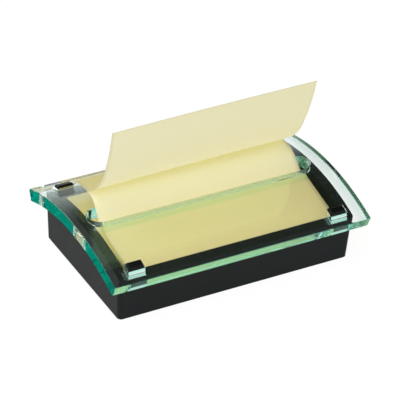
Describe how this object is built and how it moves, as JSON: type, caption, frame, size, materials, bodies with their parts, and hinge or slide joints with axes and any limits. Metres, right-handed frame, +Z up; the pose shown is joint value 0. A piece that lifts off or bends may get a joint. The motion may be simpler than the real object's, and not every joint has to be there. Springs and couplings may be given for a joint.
{
  "type": "sticky note holder with drawer",
  "caption": "Pop-up sticky note holder: black weighted base with a shallow drawer, and a clear arched lid on pegs with a slot through which the next note stands up.",
  "frame": {"origin": "on the desk, under the middle of the base", "axes": "+X along the long side towards the drawer's end, -Y towards the user, +Z up"},
  "size_m": [0.1588, 0.1036, 0.0981],
  "materials": {
    "base_plastic": "satin black, fine moulded texture",
    "peg_plastic": "satin black, smooth",
    "clear_acrylic": "polished clear plate, green in its edges",
    "tray_plastic": "plain moulded, dark grey",
    "rail_plastic": "plain moulded, grey",
    "note_paper": "uncoated pale yellow",
    "ballast_steel": "zinc-plated sheet",
    "screw_steel": "zinc-plated",
    "foot_rubber": "matte"
  },
  "bodies": {
    "base": {"base_shell": "base_plastic", "pad_shelf": "base_plastic", "shelf_screws": "screw_steel", "note_pad": "note_paper", "bottom_plate": "base_plastic", "bottom_screws": "screw_steel", "ballast_plate": "ballast_steel", "drawer_rail_front": "rail_plastic", "drawer_rail_back": "rail_plastic", "lid_peg_front_left": "peg_plastic", "lid_peg_front_right": "peg_plastic", "lid_peg_back_left": "peg_plastic", "lid_peg_back_right": "peg_plastic", "foot_front_left": "foot_rubber", "foot_front_right": "foot_rubber", "foot_back_left": "foot_rubber", "foot_back_right": "foot_rubber"},
    "lid": {"lid": "clear_acrylic", "rising_note": "note_paper"},
    "top_note": {"pulled_note": "note_paper"},
    "drawer": {"drawer_tray": "tray_plastic", "drawer_front": "base_plastic", "drawer_screws": "screw_steel"}
  },
  "joints": [
    {"name": "drawer_slide", "type": "slide", "parent": "base", "child": "drawer", "axis": [1, 0, 0], "range_m": [0, 0.09]},
    {"name": "lid_lift", "type": "slide", "parent": "base", "child": "lid", "axis": [0, 0, 1], "range_m": [0, 0.03]},
    {"name": "note_pull", "type": "slide", "parent": "lid", "child": "top_note", "axis": [0, 0, 1], "range_m": [0, 0.06]}
  ]
}
